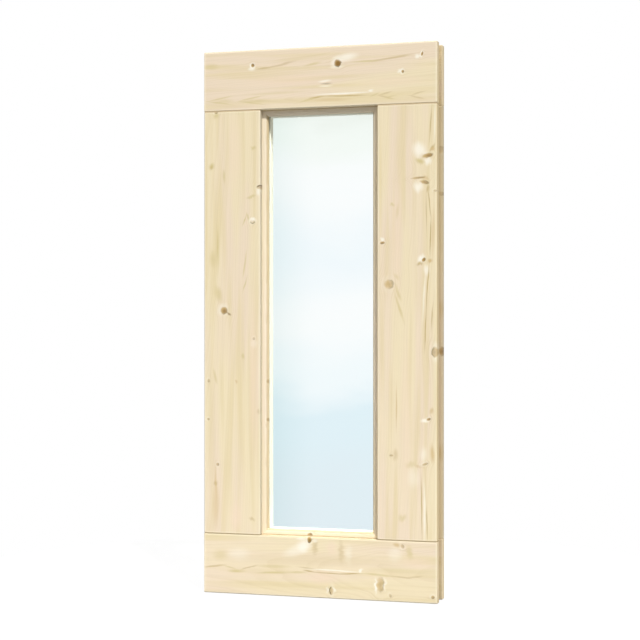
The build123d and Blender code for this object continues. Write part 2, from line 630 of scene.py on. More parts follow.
class BoardFace:
    """Works out one board's material layer by layer: the rings, the marks, the knots, and the painted
    highlight and shade.

    Places are in millimetres from the board's middle: along its grain, across its face and
    through its thickness. A wave is how long one wave of a noise is in those three directions,
    also in millimetres. The pairs named EDGE, TURN, START and END are where a step begins and ends.
    """

    SEED_STEPS = (911.0, 577.0, 311.0)
    RAGGED_WAVE = (5.0, 5.0, 12.0)
    LOOSE_WAVE = (40.0, 8.0, 14.0)
    LOOSE_REACH = (14.0, 3.6, 0.0)
    SWAY_WAVE = (360.0, 90.0, 90.0)
    QUIVER_WAVE = (85.0, 16.0, 16.0)
    QUIVER_REACH = (0.0, 3.0, 3.0)
    ZONE_WAVE = (13.0, 13.0, 13.0)
    BLOTCH_WAVE = (420.0, 46.0, 40.0)
    BAND_WAVE = (300.0, 15.0, 20.0)
    STREAK_WAVE = (160.0, 3.2, 3.2)
    FIBRE_WAVE = (9.0, 0.4, 0.4)
    LATE_START = (0.35, 0.9)
    LATE_END = (1.0, 0.94)
    BLOTCH_EDGE = (0.38, 0.62)
    BAND_EDGE = (0.46, 0.72)
    MARK_EDGE = (1.5, 0.2)
    END_TURN = (0.6, 0.9)
    SIDE_TURN = (0.2, 0.75)
    INNER_TURN = (-0.6, -0.9)
    TORN = (-0.3, 0.3)
    YEARS_ASTRAY = (-1.6, 1.6)
    LATE_CONTRAST = (0.2, 1.0)
    ZONE_SEED_STEP = 40.0
    FIGURE_AT_KNOT = 0.75
    EDGE_HIGHLIGHT_FULL = 0.3
    JOINT_SHADE_EDGE = (1.4, 0.5)
    KNOT_MOTTLE = 0.3
    KNOT_DEPTH = 0.8
    STREAK_SHADE = (0.96, 1.04)
    FIBRE_SHADE = (0.965, 1.035)
    FIBRE_RELIEF = 0.5
    LATE_RELIEF = 0.5
    RIM_RELIEF = -0.8

    def __init__(self, board: Board, wood: Spruce, knots: KnotGroup) -> None:
        """Starts the material with the places, noises and knots that its layers share.

        Args:
            board: How the board was cut, and its knots and marks.
            wood: The finish.
            knots: The group that works out a knot.
        """
        low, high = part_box(board.node)
        size = (high - low) * MM_PER_METRE
        self.board = board
        self.wood = wood
        self.level = board.along is Along.LEVEL
        self.middle = (low + high) / 2 * MM_PER_METRE
        self.half = (size.x / 2, size.z / 2) if self.level else (size.z / 2, size.x / 2)
        self.material, self.graph = new_material("spruce_" + board.node)
        graph = self.graph
        texture = graph.add("TexCoord")
        self.facing = graph.split(texture.outputs["Normal"])
        here = graph.scaled(texture.outputs["Object"], MM_PER_METRE)
        x, y, z = graph.split(graph.vector("SUBTRACT", here, tuple(self.middle)))
        self.along, self.across = (x, z) if self.level else (z, x)
        self.place = graph.join(self.along, self.across, y)
        self.seeded = graph.vector("ADD", self.place, tuple(board.seed * step for step in self.SEED_STEPS))
        self.ragged = graph.noise(self.seeded, self.RAGGED_WAVE).outputs["Fac"]
        self.streaks = graph.noise(self.seeded, self.STREAK_WAVE, 3.0).outputs["Fac"]
        self.fibre = graph.noise(self.seeded, self.FIBRE_WAVE).outputs["Fac"]
        self.knots = self.place_knots(knots)
        self.late = self.late_wood()
        self.colour: Feed = wood.rose

    def spot(self, item: Union[Knot, Mark]) -> Pair:
        """A knot's or mark's middle, along and across the board."""
        off_x, off_z = item.x_mm - self.middle.x, item.z_mm - self.middle.z
        return (off_x, off_z) if self.level else (off_z, off_x)

    def lay(self, share: Feed, colour: Feed) -> None:
        """Lays a colour over the wood, over a share of the surface."""
        self.colour = self.graph.mix(share, self.colour, colour)

    def place_knots(self, knots: KnotGroup) -> list[bpy.types.Node]:
        """Adds every knot of the board.

        Args:
            knots: The group that works out a knot.

        Returns:
            The group's node for each knot, with its outputs by name.
        """
        graph = self.graph
        flat = graph.join(self.along, self.across, 0.0)
        torn = graph.spread(self.ragged, *self.TORN)
        nodes = []
        for knot in self.board.knots:
            middle = self.spot(knot)
            near = graph.inside(flat, middle, knot.turn_degrees, (knot.length_mm, knot.width_mm))
            off_across = graph.math("SUBTRACT", self.across, middle[1])
            nodes.append(knots.place(graph, near, knot, torn, off_across))
        return nodes

    def grain(self) -> tuple[Socket, Socket]:
        """Bends the grain as it sways along the board and parts round the knots.

        Returns:
            The place in the straight log, across and through.
        """
        graph = self.graph
        sway_reach = (0.0, self.board.sway_mm, self.board.sway_mm)
        sway = graph.shift(self.seeded, self.SWAY_WAVE, sway_reach, 1.0)
        quiver = graph.shift(self.seeded, self.QUIVER_WAVE, self.QUIVER_REACH)
        swayed = graph.vector("ADD", self.place, sway)
        _, across, through = graph.split(graph.vector("ADD", swayed, quiver))
        for node in self.knots:
            across = graph.math("SUBTRACT", across, node.outputs["Shift"])
        return across, through

    def late_wood(self) -> Socket:
        """Cuts the growth rings, which are cones round the pith, with the board's faces.

        Returns:
            The darker late wood of each ring, 0 to 1.
        """
        graph, board = self.graph, self.board
        across, through = self.grain()
        off_across = graph.math("SUBTRACT", across, board.pith_across_mm)
        off_through = graph.math("SUBTRACT", through, board.pith_depth_mm)
        from_pith = graph.vector("LENGTH", graph.join(0.0, off_across, off_through))
        cone = graph.math("SUBTRACT", from_pith, graph.math("MULTIPLY", self.along, board.taper))
        zone = graph.noise(graph.join(cone, board.seed * self.ZONE_SEED_STEP, 0.0), self.ZONE_WAVE)
        years = graph.math("DIVIDE", cone, board.ring_mm)
        count = graph.math("ADD", years, graph.spread(zone.outputs["Fac"], *self.YEARS_ASTRAY))
        ring = graph.math("FRACT", count)
        which = graph.add("TexWhiteNoise", noise_dimensions="1D")
        graph.feed(which.inputs["W"], graph.math("FLOOR", count))
        start, end = graph.step(ring, *self.LATE_START), graph.step(ring, *self.LATE_END)
        return graph.product(start, end, graph.spread(which.outputs["Value"], *self.LATE_CONTRAST))

    def lay_wood(self) -> None:
        """Colours the bare wood: rose and cream blotches, olive bands and the late wood's lines."""
        graph, wood = self.graph, self.wood
        blotch = graph.noise(self.seeded, self.BLOTCH_WAVE, 1.0).outputs["Fac"]
        self.lay(graph.step(blotch, *self.BLOTCH_EDGE), wood.cream)
        band = graph.noise(self.seeded, self.BAND_WAVE, 1.0).outputs["Fac"]
        self.lay(graph.product(graph.step(band, *self.BAND_EDGE), wood.olive_share), wood.olive)
        figure: Feed = 0.0
        for node in self.knots:
            near = graph.math("MULTIPLY", node.outputs["Reach"], self.FIGURE_AT_KNOT)
            figure = graph.math("MAXIMUM", figure, near)
        late_share = graph.spread(figure, wood.late_share, wood.figure_share)
        self.lay(graph.product(self.late, late_share), wood.late)

    def lay_marks(self) -> None:
        """Adds the board's soft patches and thin lines, which wander a little."""
        graph = self.graph
        loose = graph.vector("ADD", self.place, graph.shift(self.seeded, self.LOOSE_WAVE, self.LOOSE_REACH))
        for mark in self.board.marks:
            size = (mark.length_mm, mark.width_mm)
            near_along, near_across, _ = graph.split(
                graph.inside(loose, self.spot(mark), mark.turn_degrees, size)
            )
            far = graph.vector("LENGTH", graph.join(near_along, near_across, 0.0))
            self.lay(graph.product(graph.step(far, *self.MARK_EDGE), mark.strength), mark.tone.value)

    def from_side(self) -> Socket:
        """How far the place is from the nearer long edge."""
        return self.graph.math("SUBTRACT", self.half[1], self.graph.math("ABSOLUTE", self.across))

    def from_end(self) -> Socket:
        """How far the place is from the nearer end."""
        return self.graph.math("SUBTRACT", self.half[0], self.graph.math("ABSOLUTE", self.along))

    def lay_edge_highlights(self) -> None:
        """Paints a highlight along the eased edges, standing in for the light they catch, if the finish has
        one.
        """
        graph, wood = self.graph, self.wood
        if wood.edge_highlight_share:
            from_edge = graph.math("MINIMUM", self.from_side(), self.from_end())
            edge = graph.step(from_edge, wood.edge_highlight_mm, wood.edge_highlight_mm * self.EDGE_HIGHLIGHT_FULL)
            # Painted highlight along the eased edges.
            self.lay(graph.product(edge, wood.edge_highlight_share), wood.edge_highlight)

    def lay_knots(self) -> None:
        """Lays the knots over the wood: the halo, the body and the dark rim."""
        graph = self.graph
        for knot, node in zip(self.board.knots, self.knots):
            self.lay(graph.product(node.outputs["Halo"], knot.halo), Tone.GLOW.value)
            depth = graph.product(node.outputs["Deep"], self.KNOT_DEPTH)
            depth = graph.math("MULTIPLY_ADD", self.ragged, self.KNOT_MOTTLE, depth)
            if knot.core:
                depth = graph.math("ADD", depth, knot.core)
            body = graph.mix(depth, Tone.HEART.value, Tone.BROWN.value)
            self.lay(graph.product(node.outputs["Body"], knot.strength), body)
            self.lay(graph.product(node.outputs["Rim"], knot.rim), Tone.DARK.value)

    def lay_joint_shade(self) -> None:
        """Paints the thin line of shade that falls in a joint, where the board has one."""
        graph, wood, seam = self.graph, self.wood, self.board.seam
        if seam is JointShade.NONE:
            return
        if seam is JointShade.ENDS:
            reach = self.from_end()
        elif seam is JointShade.LOW_SIDE:
            reach = graph.math("ADD", self.across, self.half[1])
        else:
            reach = graph.math("SUBTRACT", self.half[1], self.across)
        outer, inner = (wood.joint_shade_mm * share for share in self.JOINT_SHADE_EDGE)
        # Painted shade in the joint.
        self.lay(graph.step(reach, outer, inner), wood.seam)

    def shade_turned_faces(self) -> None:
        """Darkens the end grain, and paints shade on the sides and, where the finish has it, in the groove.
        """
        graph, wood = self.graph, self.wood
        face_x, face_y, face_z = self.facing
        end = graph.math("ABSOLUTE", face_x if self.level else face_z)
        side = face_z if self.level else graph.math("ABSOLUTE", face_x)
        self.colour = graph.tinted(self.colour, wood.end_shade, graph.step(end, *self.END_TURN))
        # Painted shade on the sides, chosen by the way they face.
        self.colour = graph.tinted(self.colour, wood.painted_side_shade, graph.step(side, *self.SIDE_TURN))
        # Painted shade on the faces inside the groove.
        if wood.painted_groove_shade:
            inner = graph.step(face_y, *self.INNER_TURN)
            self.colour = graph.tinted(self.colour, wood.painted_groove_shade, inner)

    def relief(self) -> Socket:
        """Raises the fibre and the late wood, and sinks the rims of the knots.

        Returns:
            The height.
        """
        graph = self.graph
        late = graph.product(self.late, self.LATE_RELIEF)
        height = graph.math("MULTIPLY_ADD", self.fibre, self.FIBRE_RELIEF, late)
        for node in self.knots:
            height = graph.math("MULTIPLY_ADD", node.outputs["Rim"], self.RIM_RELIEF, height)
        return height

    def finished(self) -> bpy.types.Material:
        """Lays the layers over each other and ends the material.

        Returns:
            The material.
        """
        graph, wood = self.graph, self.wood
        self.lay_wood()
        self.lay_marks()
        self.lay_edge_highlights()
        self.lay_knots()
        self.lay_joint_shade()
        self.shade_turned_faces()
        streaked = graph.spread(self.streaks, *self.STREAK_SHADE)
        fine = graph.product(streaked, graph.spread(self.fibre, *self.FIBRE_SHADE))
        colour = graph.shaded(self.colour, fine)
        roughness = graph.spread(self.streaks, wood.smoothest, wood.roughest)
        surface = graph.surface(colour, roughness, self.relief(), wood.relief_strength, wood.relief_depth)
        surface.inputs["Specular IOR Level"].default_value = wood.specular
        surface_output(graph, surface.outputs["BSDF"])
        return self.material


@dataclass(frozen=True)
class ClearGlass:
    """Float glass that lets the lamps through."""

    tint: Colour = (0.955, 0.985, 0.985)
    bend: float = 1.5

    def material(self) -> bpy.types.Material:
        """Makes the glass, which lamps shine through.

        Returns:
            The material.
        """
        material, graph = new_material("clear_glass")
        glass = graph.add("BsdfPrincipled")
        graph.feed(glass.inputs["Base Color"], self.tint)
        glass.inputs["Roughness"].default_value = 0.0
        glass.inputs["IOR"].default_value = self.bend
        glass.inputs["Transmission Weight"].default_value = 1.0
        open_way = graph.add("BsdfTransparent")
        graph.feed(open_way.inputs["Color"], self.tint)
        for_shadows = graph.add("LightPath").outputs["Is Shadow Ray"]
        surface_output(graph, graph.either(for_shadows, glass.outputs["BSDF"], open_way.outputs["BSDF"]))
        return material


@dataclass(frozen=True)
class FoamTape:
    """Closed-cell glazing tape."""

    colour: Colour = linear(232, 228, 214)
    pore_mm: float = 0.5
    shades: Pair = (0.86, 1.1)
    roughness: Pair = (0.75, 0.95)
    relief_strength: float = 0.6
    relief_depth: float = 0.0001

    def material(self) -> bpy.types.Material:
        """Makes the tape, with its small cells.

        Returns:
            The material.
        """
        material, graph = new_material("foam_tape")
        here = graph.scaled(graph.add("TexCoord").outputs["Object"], MM_PER_METRE)
        cells = graph.noise(here, (self.pore_mm, self.pore_mm, self.pore_mm)).outputs["Fac"]
        colour = graph.shaded(self.colour, graph.spread(cells, *self.shades))
        roughness = graph.spread(cells, *self.roughness)
        surface = graph.surface(colour, roughness, cells, self.relief_strength, self.relief_depth)
        surface_output(graph, surface.outputs["BSDF"])
        return material


def paint(node: str, material: bpy.types.Material) -> None:
    """Puts a material into every slot of a CAD node.

    Args:
        node: The node's name.
        material: Its finish.
    """
    mesh_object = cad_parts[node]
    if not mesh_object.material_slots:
        mesh_object.data.materials.append(material)
    for slot in mesh_object.material_slots:
        slot.material = material


def dress_boards(boards: Sequence[Board], wood: Spruce, knots: KnotGroup) -> None:
    """Gives every board its own material.

    Args:
        boards: The boards.
        wood: Their finish.
        knots: The group that works out a knot.
    """
    for board in boards:
        paint(board.node, wood.dress(board, knots))
        log.info("%s dressed", board.node)


@dataclass(frozen=True)
class PhotoCamera:
    """The camera at the photograph's viewing angle, level, to the right of the window."""

    place: Triple = (0.862, -2.972, 0.516)
    turn_degrees: float = 16.276
    lens_mm: float = 87.14
    shift_up: float = 0.006875

    def build(self) -> None:
        """Makes the camera and makes it the scene's."""
        data = bpy.data.cameras.new("camera")
        data.lens = self.lens_mm
        data.sensor_width = 36.0
        data.shift_y = self.shift_up
        data.clip_start = 0.05
        data.clip_end = 100.0
        camera = bpy.data.objects.new("camera", data)
        bpy.context.scene.collection.objects.link(camera)
        camera.location = self.place
        camera.rotation_euler = (math.radians(90), 0, math.radians(self.turn_degrees))
        bpy.context.scene.camera = camera


@dataclass(frozen=True)
class Lamp:
    """A distant lamp.

    towards points to the lamp, level is what a white surface square to it would render as, and
    spread_degrees is its width, which softens its shadows. A lamp that isn't mirrored shows in
    no glass.
    """

    name: str
    towards: Triple
    level: float
    spread_degrees: float
    mirrored: bool = True

    def build(self) -> None:
        """Makes the lamp."""
        data = bpy.data.lights.new(self.name, "SUN")
        data.energy = self.level * math.pi
        data.angle = math.radians(self.spread_degrees)
        lamp = bpy.data.objects.new(self.name, data)
        bpy.context.scene.collection.objects.link(lamp)
        lamp.rotation_euler = Vector(self.towards).to_track_quat("Z", "Y").to_euler()
        lamp.visible_glossy = self.mirrored


@dataclass(frozen=True)
class Studio:
    """A pale floor, a key from the upper right, a wide fill in front and an even world."""

    lamps: tuple[Lamp, ...] = (
        Lamp("key", (0.75, -1.0, 1.6), 1.05, 4.0),
        Lamp("fill", (-0.05, -1.0, 1.2), 0.19, 40.0, mirrored=False),
        Lamp("rear", (-0.45, 1.0, 0.8), 0.82, 20.0, mirrored=False),
    )
    ambient: float = 0.325
    even_colour: Colour = (1.0, 0.99, 0.97)
    backdrop: Colour = (1.0, 1.0, 1.0)
    dim_sky: Colour = (0.88, 0.93, 0.92)
    dim_sky_from: Pair = (-0.28, -0.315)
    cloud_wave: Triple = (0.11, 0.11, 0.045)
    cloud_place: Triple = (3.1, 0.7, 0.2)
    cloud_rise: float = 0.036
    sky_range: Pair = (0.5, 3.8)
    floor_radius: float = 0.9
    floor_drop: float = 0.0005
    floor_matt: Colour = (0.3, 0.3, 0.3)
    floor_seen_matt: Colour = (0.1, 0.1, 0.1)
    floor_glow: Colour = (0.89, 0.89, 0.89)

    def build(self) -> None:
        """Makes the lamps, the world and the floor."""
        for lamp in self.lamps:
            lamp.build()
        self.world()
        self.floor()

    def world(self) -> None:
        """Makes the world: white behind the window, an even light, and a pale sky through glass."""
        world = bpy.data.worlds.new("studio")
        bpy.context.scene.world = world
        world.use_nodes = True
        world.node_tree.nodes.clear()
        graph = Graph(world.node_tree)
        sky = self.sky(graph, graph.add("TexCoord").outputs["Generated"])
        shown = graph.add("Background")
        ray = graph.add("LightPath")
        graph.feed(shown.inputs["Color"], graph.mix(ray.outputs["Is Camera Ray"], sky, self.backdrop))
        even = graph.add("Background")
        graph.feed(even.inputs["Color"], self.even_colour)
        even.inputs["Strength"].default_value = self.ambient
        both = graph.either(graph.seen_directly(), even.outputs[0], shown.outputs[0])
        graph.feed(graph.add("OutputWorld").inputs["Surface"], both)

    def sky(self, graph: Graph, here: Socket) -> Socket:
        """The pale sky that shows through and in glass.

        Args:
            graph: The world's graph.
            here: The direction looked in.

        Returns:
            The sky's colour.
        """
        side, _, up = graph.split(here)
        cloud = graph.noise(graph.vector("ADD", here, self.cloud_place), self.cloud_wave, 3.0)
        risen = graph.spread(cloud.outputs["Fac"], -self.cloud_rise, self.cloud_rise)
        height = graph.math("ADD", up, risen)
        ramp = graph.add("ValToRGB")
        ramp.color_ramp.interpolation = "EASE"
        graph.feed(ramp.inputs[0], graph.spread(height, *self.sky_range))
        stops = (
            (0.0, linear(230, 239, 244)),
            (0.33, linear(229, 243, 249)),
            (0.41, linear(247, 252, 254)),
            (0.50, linear(255, 255, 255)),
            (0.67, linear(246, 251, 254)),
            (0.80, linear(255, 255, 255)),
            (0.90, linear(249, 252, 247)),
            (1.0, linear(222, 226, 214)),
        )
        elements = ramp.color_ramp.elements
        while len(elements) < len(stops):
            elements.new(0.5)
        for element, (position, colour) in zip(elements, stops):
            element.position = position
            element.color = (*colour, 1.0)
        pale = ramp.outputs["Color"]
        return graph.tinted(pale, self.dim_sky, graph.step(side, *self.dim_sky_from))

    def floor(self) -> None:
        """Makes the round floor under the window."""
        low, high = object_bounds()
        middle = ((low.x + high.x) / 2, (low.y + high.y) / 2, low.z - self.floor_drop)
        shape = bmesh.new()
        bmesh.ops.create_circle(shape, cap_ends=True, segments=96, radius=self.floor_radius)
        bmesh.ops.translate(shape, verts=shape.verts, vec=middle)
        mesh = bpy.data.meshes.new("floor")
        shape.to_mesh(mesh)
        shape.free()
        floor = bpy.data.objects.new("floor", mesh)
        bpy.context.scene.collection.objects.link(floor)
        mesh.materials.append(self.floor_finish())
        floor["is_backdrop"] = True

    def floor_finish(self) -> bpy.types.Material:
        """Makes a floor that is nearly all glow where it is seen, and matt grey as a reflector.

        Returns:
            The material.
        """
        material, graph = new_material("pale_floor")
        matt = graph.add("BsdfDiffuse")
        graph.feed(matt.inputs["Color"], self.floor_matt)
        faint = graph.add("BsdfDiffuse")
        graph.feed(faint.inputs["Color"], self.floor_seen_matt)
        glow = graph.add("Emission")
        graph.feed(glow.inputs["Color"], self.floor_glow)
        seen = graph.add("AddShader")
        graph.feed_all(seen, (faint.outputs[0], glow.outputs[0]))
        surface_output(graph, graph.either(graph.seen_directly(), matt.outputs[0], seen.outputs[0]))
        return material


TOP_RAIL = Board(
    "front_top_rail",
    Along.LEVEL,
    seed=1.0,
    pith_across_mm=-40.0,
    pith_depth_mm=-2.0,
    taper=0.06,
    sway_mm=8.0,
    knots=(
        Knot(-136.5, 1034, 6.5, 6.5, 0.95, dark_degrees=50, halo=0.9, rim=0.9),
        Knot(40, 1031, 13.5, 13.5, 1.0, dark_degrees=-50, halo=0.6, rim=0.6, core=0.4),
        Knot(210, 1041, 4, 8, 0.95, -15, dark_degrees=10, halo=0.9),
        Knot(171.5, 1008.5, 5, 6, 0.9, dark_degrees=-20, halo=0.9),
    ),
    marks=(
        Mark(-139, 1027, 14, 7, Tone.GLOW, 0.8),
        streak(Along.LEVEL, (-131, 1025.5), (-100, 1028.5), 4.5, Tone.AMBER, 0.55),
        streak(Along.LEVEL, (-108, 1027), (-46, 1039.5), 4.5, Tone.AMBER, 0.5),
        streak(Along.LEVEL, (-30, 1028.5), (6, 1034.5), 5, Tone.OLIVE, 0.7),
        Mark(-40, 1044, 110, 8, Tone.OLIVE, 0.35, 5),
        Mark(60, 1042, 44, 15, Tone.GLOW, 0.8, 8),
        Mark(38, 1023.5, 26, 4, Tone.GLOW, 0.6),
        streak(Along.LEVEL, (70, 1031.5), (127, 1031.5), 4, Tone.OLIVE, 0.8),
        streak(Along.LEVEL, (112, 1031), (192, 1041), 4.5, Tone.AMBER, 0.6),
        Mark(202, 1036, 10, 8, Tone.GLOW, 0.9),
        Mark(165, 1010, 10, 8, Tone.GLOW, 0.8),
        Mark(16.5, 991.5, 21, 2.6, Tone.DARK, 0.42, -2),
        Mark(14, 996.5, 26, 5, Tone.GLOW, 0.9, 4),
        Mark(14, 987, 26, 4, Tone.GLOW, 0.6),
        Mark(-224, 1035, 30, 12, Tone.OLIVE, 0.6),
        *flame((-234, 966), 54, 9, Tone.OLIVE, 0.75),
        *flame((-165, 964), 54, 9, Tone.OLIVE, 0.75),
        *flame((122, 964), 30, 7, Tone.AMBER, 0.42),
        *flame((136, 959), 24, 4, Tone.OLIVE, 0.6),
        *flame((184, 961), 34, 8, Tone.AMBER, 0.4),
        Mark(-200, 965, 40, 8, Tone.OLIVE, 0.5),
        Mark(-130, 963, 50, 8, Tone.OLIVE, 0.5),
        streak(Along.LEVEL, (-44, 955), (8, 967.5), 4, Tone.OLIVE, 0.8),
        streak(Along.LEVEL, (-18, 963.5), (14, 966.5), 3, Tone.AMBER, 0.8),
        streak(Along.LEVEL, (8, 967), (100, 965), 3, Tone.AMBER, 0.85),
        streak(Along.LEVEL, (-5, 970.5), (104, 971), 3.6, Tone.GLOW, 0.9),
        streak(Along.LEVEL, (-10, 959.5), (70, 959.5), 7, Tone.TAN, 0.5),
        Mark(107, 974, 10, 5, Tone.GLOW, 0.9),
        streak(Along.LEVEL, (106, 962), (122, 968), 4, Tone.OLIVE, 0.7),
        Mark(-88, 977, 120, 5, Tone.OLIVE, 0.4, 1),
        Mark(-60, 1002, 160, 26, Tone.ROSE, 0.4),
        Mark(150, 990, 130, 20, Tone.ROSE, 0.35),
    ),
)

BOTTOM_RAIL = Board(
    "front_bottom_rail",
    Along.LEVEL,
    seed=2.0,
    pith_across_mm=-6.0,
    pith_depth_mm=48.0,
    knots=(
        Knot(-18, 89.5, 8, 11, 1.0, dark_degrees=-70, halo=0.5, rim=0.8),
        Knot(27, -9, 7, 14, 0.35, dark_degrees=178, halo=0.3, rim=1.0),
        Knot(126.5, 8, 14, 28, 0.28, dark_degrees=-25, halo=0.1, rim=0.3),
        Knot(171, 84, 6, 9, 0.45, 20, dark_degrees=10, halo=0.2, rim=0.3),
        Knot(231.5, -12, 7, 6, 0.7, dark_degrees=-60, halo=0.3),
        Knot(146.5, -13, 5, 7, 0.35, 20, dark_degrees=-40, halo=0.2, rim=0.2),
    ),
    marks=(
        Mark(-30, 76, 26, 24, Tone.GLOW, 0.9, 25),
        Mark(-44, 68, 60, 22, Tone.GLOW, 0.55, 25),
        Mark(-36, 91, 22, 6, Tone.GLOW, 0.8),
        Mark(-16.5, 92.5, 16, 9, Tone.AMBER, 0.9),
        Mark(-6, 76, 12, 32, Tone.AMBER, 0.45),
        Mark(-7, 88, 10, 9, Tone.GLOW, 0.6),
        Mark(47, 68, 11, 44, Tone.AMBER, 0.4),
        Mark(62, 62, 14, 36, Tone.GLOW, 0.4),
        Mark(28, 74, 20, 30, Tone.ROSE, 0.5),
        Mark(-166, 56, 46, 24, Tone.GLOW, 0.35),
        Mark(-205, 52, 34, 22, Tone.OLIVE, 0.5),
        streak(Along.LEVEL, (-240, 25.5), (-197, 32), 4, Tone.AMBER, 0.65),
        streak(Along.LEVEL, (-200, 31), (-172, 25), 3, Tone.OLIVE, 0.7),
        Mark(-170, 21, 34, 7, Tone.OLIVE, 0.9, 2),
        streak(Along.LEVEL, (-158, 25), (-128, 34), 3, Tone.AMBER, 0.6),
        streak(Along.LEVEL, (-128, 33), (-60, 34), 7, Tone.OLIVE, 0.6),
        streak(Along.LEVEL, (-126, 19), (-58, 23.5), 5, Tone.OLIVE, 0.9),
        streak(Along.LEVEL, (-60, 24), (-26, 25), 4, Tone.OLIVE, 0.7),
        streak(Along.LEVEL, (-40, 35), (2, 31), 4, Tone.AMBER, 0.5),
        streak(Along.LEVEL, (-30, 28.5), (-8, 26.5), 2.4, Tone.AMBER, 0.95),
        streak(Along.LEVEL, (-14, 26), (52, 24.5), 2.2, Tone.AMBER, 0.95),
        streak(Along.LEVEL, (40, 24.5), (90, 27.5), 2.2, Tone.AMBER, 0.95),
        streak(Along.LEVEL, (-22, 31.5), (86, 30), 3.4, Tone.GLOW, 0.9),
        Mark(87.5, 33, 7, 9, Tone.GLOW, 1.0),
        streak(Along.LEVEL, (92, 28), (158, 24), 3.5, Tone.OLIVE, 0.85),
        streak(Along.LEVEL, (150, 25), (190, 22), 2.6, Tone.AMBER, 0.5),
        streak(Along.LEVEL, (178, 23), (212, 28), 3, Tone.AMBER, 0.45),
        streak(Along.LEVEL, (100, 37), (238, 36), 10, Tone.OLIVE, 0.35),
        Mark(156, 68, 26, 30, Tone.GLOW, 0.35),
        Mark(160, 86, 14, 8, Tone.TAN, 0.8),
        Mark(185, 71, 14, 28, Tone.OLIVE, 0.7, 8),
        Mark(127, 7, 13, 24, Tone.TAN, 0.8),
        Mark(117.5, 4, 4.5, 30, Tone.GLOW, 1.0),
        Mark(136, 8, 5, 26, Tone.GLOW, 0.6),
        Mark(34, -7, 6, 10, Tone.GLOW, 0.8),
        Mark(20, -8, 5, 14, Tone.GLOW, 0.6),
        Mark(10, 50, 330, 22, Tone.OLIVE, 0.35, 1),
        Mark(5, 14, 60, 26, Tone.ROSE, 0.5),
        Mark(196, 52, 60, 26, Tone.ROSE, 0.4),
    ),
)

LEFT_STILE = Board(
    "front_left_stile",
    Along.UPRIGHT,
    seed=3.0,
    pith_across_mm=-92.0,
    pith_depth_mm=44.0,
    seam=JointShade.ENDS,
    knots=(
        Knot(-197.6, 544, 14, 13.5, 0.9, dark_degrees=130, halo=0.35, rim=0.4),
        Knot(-121, 790, 8, 13, 0.5, dark_degrees=0, halo=0.1, rim=1.0),
        Knot(-136.8, 722, 8, 9, 0.2, 15, dark_degrees=170, halo=0.6, rim=0.6),
        Knot(-214.7, 943, 5, 7, 0.6, halo=0.2),
        Knot(-230, 403, 7, 5, 0.4, dark_degrees=180, halo=0.2, rim=0.3),
        Knot(-134, 488, 6, 5, 0.35, dark_degrees=180, halo=0.2, rim=0.2),
        Knot(-231, 325, 5, 5, 0.5, halo=0.4, rim=0.3),
        Knot(-211, 234, 6, 6, 0.6, dark_degrees=90, halo=0.2, rim=0.4),
    ),
    marks=(
        Mark(-187, 538.5, 12, 4.5, Tone.BROWN, 0.75, -50),
        Mark(-224, 835, 14, 12, Tone.OLIVE, 1.0),
        Mark(-224, 833, 8, 7, Tone.AMBER, 0.4),
        Mark(-214, 937, 12, 12, Tone.OLIVE, 0.8),
        Mark(-123, 781, 16, 10, Tone.GLOW, 0.8),
        Mark(-139, 773, 6, 22, Tone.OLIVE, 0.8, -20),
        Mark(-136.5, 726, 9, 9, Tone.GLOW, 1.0),
        streak(Along.UPRIGHT, (-158, 716), (-149, 738), 3, Tone.OLIVE, 0.9),
        streak(Along.UPRIGHT, (-149, 740), (-143, 720), 3, Tone.OLIVE, 0.8),
        Mark(-135, 869, 8, 11, Tone.OLIVE, 0.8, 20),
        streak(Along.UPRIGHT, (-211, 655), (-211, 705), 2.6, Tone.AMBER, 0.6),
        Mark(-211, 670, 90, 8, Tone.OLIVE, 0.6),
        Mark(-221, 648, 34, 14, Tone.OLIVE, 0.6),
        streak(Along.UPRIGHT, (-157, 612), (-150, 660), 4, Tone.OLIVE, 0.8),
        streak(Along.UPRIGHT, (-158, 580), (-148, 612), 3, Tone.OLIVE, 0.8),
        Mark(-197, 815, 26, 6, Tone.OLIVE, 0.7),
        Mark(-209, 577, 34, 15, Tone.OLIVE, 0.7, -14),
        Mark(-123.5, 342, 9, 9, Tone.AMBER, 0.5),
        Mark(-134, 478, 18, 14, Tone.GLOW, 0.5),
        Mark(-157, 451, 12, 7, Tone.OLIVE, 0.75, -10),
        Mark(-216, 412, 28, 6, Tone.OLIVE, 0.6, -16),
        Mark(-171, 402, 6, 6, Tone.TAN, 0.6),
        Mark(-215, 200, 70, 5, Tone.TAN, 0.6, -2),
        Mark(-214, 150, 90, 14, Tone.TAN, 0.5),
        Mark(-215, 196, 12, 8, Tone.AMBER, 0.5, 30),
        Mark(-138, 126, 7, 13, Tone.AMBER, 0.5, 12),
        Mark(-172, 128, 60, 26, Tone.ROSE, 0.6),
        Mark(-224, 300, 300, 16, Tone.OLIVE, 0.3),
        Mark(-135, 420, 330, 18, Tone.ROSE, 0.5),
        Mark(-175, 860, 140, 30, Tone.ROSE, 0.35),
    ),
)

